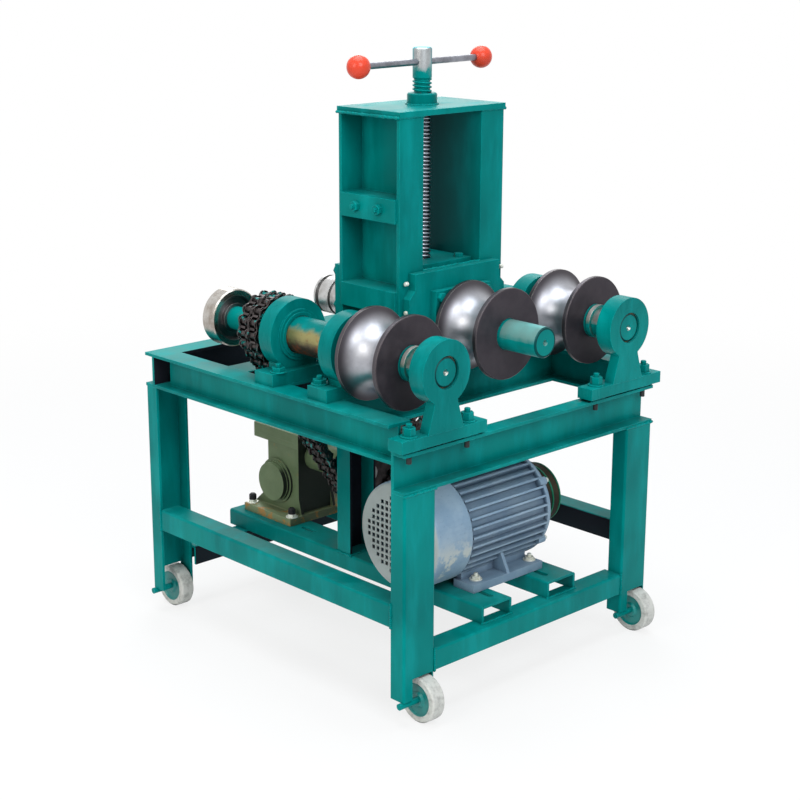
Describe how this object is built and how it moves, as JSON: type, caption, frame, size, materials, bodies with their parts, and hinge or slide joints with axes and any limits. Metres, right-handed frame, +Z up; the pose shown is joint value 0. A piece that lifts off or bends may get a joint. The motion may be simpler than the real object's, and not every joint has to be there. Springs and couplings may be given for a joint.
{
  "type": "ring roller",
  "caption": "Motor-driven pipe bender on a castor frame: grooved rollers, hand-screw tower, worm gearbox with chain and belt drive.",
  "frame": {"origin": "on the floor, midway between the legs left to right and front to back", "axes": "+X to the right seen from the pipe side, +Y to the back, +Z up"},
  "size_m": [0.581, 0.686, 0.962],
  "materials": {
    "green_paint": "brushed green enamel, semi-gloss",
    "castor_rubber": "grey moulded tread with a green hub",
    "die_steel": "turned steel, polished in the grooves",
    "bar_steel": "plain dark steel bar",
    "zinc": "zinc-plated fasteners",
    "bronze": "turned bronze",
    "chain_steel": "oiled dark chain",
    "gearbox_paint": "olive casting paint",
    "motor_paint": "grey-blue casting paint",
    "cowl_paint": "pale grey sheet paint",
    "belt_rubber": "fabric-backed V-belt rubber",
    "knob_red": "gloss red phenolic",
    "fan_plastic": "black moulded plastic"
  },
  "bodies": {
    "frame": {"legs": "green_paint", "top_rails": "green_paint", "stretchers": "green_paint", "cross_beams": "green_paint", "base_rails": "green_paint", "post": "green_paint", "castor_axles": "bar_steel", "pedestals": "green_paint", "pedestal_shims": "green_paint", "bearing_housings": "green_paint", "shaft_bushes": "bronze", "bearing_bolts": "zinc", "tower_columns": "green_paint", "tower_top_plate": "green_paint", "column_bolts": "green_paint", "screw_boss": "green_paint", "motor_frame": "motor_paint", "motor_end_bells": "motor_paint", "fan_cover": "cowl_paint", "terminal_box": "motor_paint", "gearbox_housing": "gearbox_paint", "gearbox_covers": "gearbox_paint", "drive_bolts": "zinc", "drive_chain": "chain_steel", "drive_belts": "belt_rubber", "idler_bracket": "green_paint"},
    "left_roller": {"left_shaft": "green_paint", "left_die": "die_steel", "left_spacers": "green_paint", "left_sprocket": "chain_steel", "left_rear_disc": "die_steel"},
    "right_roller": {"right_shaft": "green_paint", "right_die": "die_steel", "right_spacers": "green_paint", "right_sprocket": "chain_steel", "right_rear_disc": "die_steel"},
    "carriage": {"carriage_block": "green_paint", "carriage_front_plate": "green_paint", "carriage_rear_plate": "green_paint", "bearing_retainer": "green_paint", "carriage_screws": "zinc", "carriage_cap": "green_paint"},
    "top_roller": {"centre_shaft": "green_paint", "centre_die": "die_steel", "centre_rear_die": "die_steel"},
    "screw": {"lead_screw": "bar_steel"},
    "tommy": {"tommy_bar": "bar_steel", "tommy_balls": "knob_red"},
    "rotor": {"motor_rotor": "die_steel", "motor_fan": "fan_plastic", "motor_pulley": "green_paint"},
    "worm": {"worm_shaft": "die_steel", "input_pulley": "green_paint"},
    "output": {"output_shaft": "die_steel", "output_sprocket": "chain_steel"},
    "idler": {"idler_sprocket": "chain_steel"},
    "castor_fl": {"front_left_castor": "castor_rubber"},
    "castor_bl": {"back_left_castor": "castor_rubber"},
    "castor_fr": {"front_right_castor": "castor_rubber"},
    "castor_br": {"back_right_castor": "castor_rubber"}
  },
  "joints": [
    {"name": "left_roller_spin", "type": "hinge", "parent": "frame", "child": "left_roller", "pos_m": [-0.2045, -0.2, 0.5306], "axis": [0, 1, 0], "continuous": true, "deforming": ["drive_chain"]},
    {"name": "right_roller_spin", "type": "hinge", "parent": "frame", "child": "right_roller", "pos_m": [0.2045, -0.2, 0.5306], "axis": [0, 1, 0], "continuous": true},
    {"name": "output_spin", "type": "hinge", "parent": "frame", "child": "output", "pos_m": [-0.017, 0.15, 0.252], "axis": [0, 1, 0], "continuous": true},
    {"name": "idler_spin", "type": "hinge", "parent": "frame", "child": "idler", "pos_m": [0, 0.065, 0.3816], "axis": [0, 1, 0], "continuous": true},
    {"name": "worm_spin", "type": "hinge", "parent": "frame", "child": "worm", "pos_m": [0, 0.242, 0.202], "axis": [1, 0, 0], "continuous": true},
    {"name": "rotor_spin", "type": "hinge", "parent": "frame", "child": "rotor", "pos_m": [0, -0.162, 0.227], "axis": [1, 0, 0], "continuous": true, "deforming": ["drive_belts"]},
    {"name": "carriage_slide", "type": "slide", "parent": "frame", "child": "carriage", "axis": [0, 0, 1], "range_m": [-0.02, 0.2]},
    {"name": "top_roller_spin", "type": "hinge", "parent": "carriage", "child": "top_roller", "pos_m": [0, -0.2, 0.5408], "axis": [0, 1, 0], "continuous": true},
    {"name": "screw_turn", "type": "hinge", "parent": "carriage", "child": "screw", "pos_m": [0, -0.057, 0.8], "axis": [0, 0, 1], "range_deg": [-1201, 12001]},
    {"name": "tommy_bar_slide", "type": "slide", "parent": "screw", "child": "tommy", "axis": [0.9945, 0.1045, 0], "range_m": [-0.112, 0.112]},
    {"name": "front_left_castor_roll", "type": "hinge", "parent": "frame", "child": "castor_fl", "pos_m": [-0.2365, -0.307, 0.036], "axis": [1, 0, 0], "continuous": true},
    {"name": "back_left_castor_roll", "type": "hinge", "parent": "frame", "child": "castor_bl", "pos_m": [-0.2365, 0.307, 0.036], "axis": [1, 0, 0], "continuous": true},
    {"name": "front_right_castor_roll", "type": "hinge", "parent": "frame", "child": "castor_fr", "pos_m": [0.2605, -0.307, 0.036], "axis": [1, 0, 0], "continuous": true},
    {"name": "back_right_castor_roll", "type": "hinge", "parent": "frame", "child": "castor_br", "pos_m": [0.2605, 0.307, 0.036], "axis": [1, 0, 0], "continuous": true}
  ],
  "couplings": [
    {"joint": "right_roller_spin", "follows": "left_roller_spin", "ratio": 1},
    {"joint": "output_spin", "follows": "left_roller_spin", "ratio": 1},
    {"joint": "idler_spin", "follows": "left_roller_spin", "ratio": -1.3333},
    {"joint": "worm_spin", "follows": "left_roller_spin", "ratio": 20},
    {"joint": "rotor_spin", "follows": "left_roller_spin", "ratio": 32},
    {"joint": "screw_turn", "follows": "carriage_slide", "rad_per_m": 1047.2}
  ]
}
